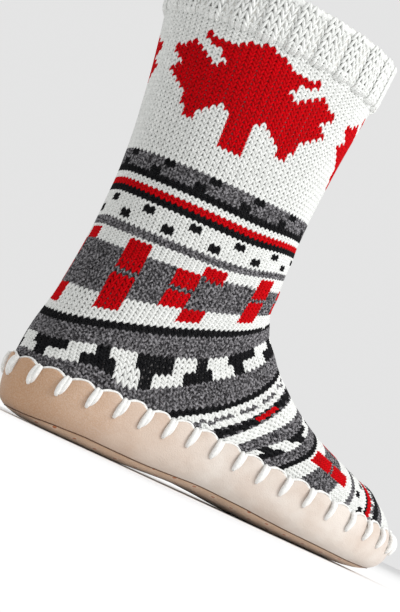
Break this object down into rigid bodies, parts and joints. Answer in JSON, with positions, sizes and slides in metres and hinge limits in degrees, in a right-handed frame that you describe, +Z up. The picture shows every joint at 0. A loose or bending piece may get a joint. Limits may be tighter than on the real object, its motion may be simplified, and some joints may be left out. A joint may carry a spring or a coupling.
{
  "type": "knitted slipper sock",
  "caption": "Calf-high knitted slipper sock, right foot, with a scalloped suede side band and a dotted suede sole.",
  "frame": {"origin": "on the flat underside of the sole, under the heel, where the slipper rests", "axes": "+X towards the toes, +Y towards the inner side of the right foot, +Z up through the collar"},
  "size_m": [0.2571, 0.1084, 0.2404],
  "materials": {
    "knit": "patterned wool knit",
    "band_suede": "pale brushed suede",
    "panel_suede": "suede with grip dots",
    "footbed": "brushed fleece",
    "stitching": "thick wool yarn"
  },
  "bodies": {
    "root": {"knit_upper": "knit", "side_band": "band_suede", "sole_panel": "panel_suede", "insole": "footbed"}
  },
  "joints": []
}
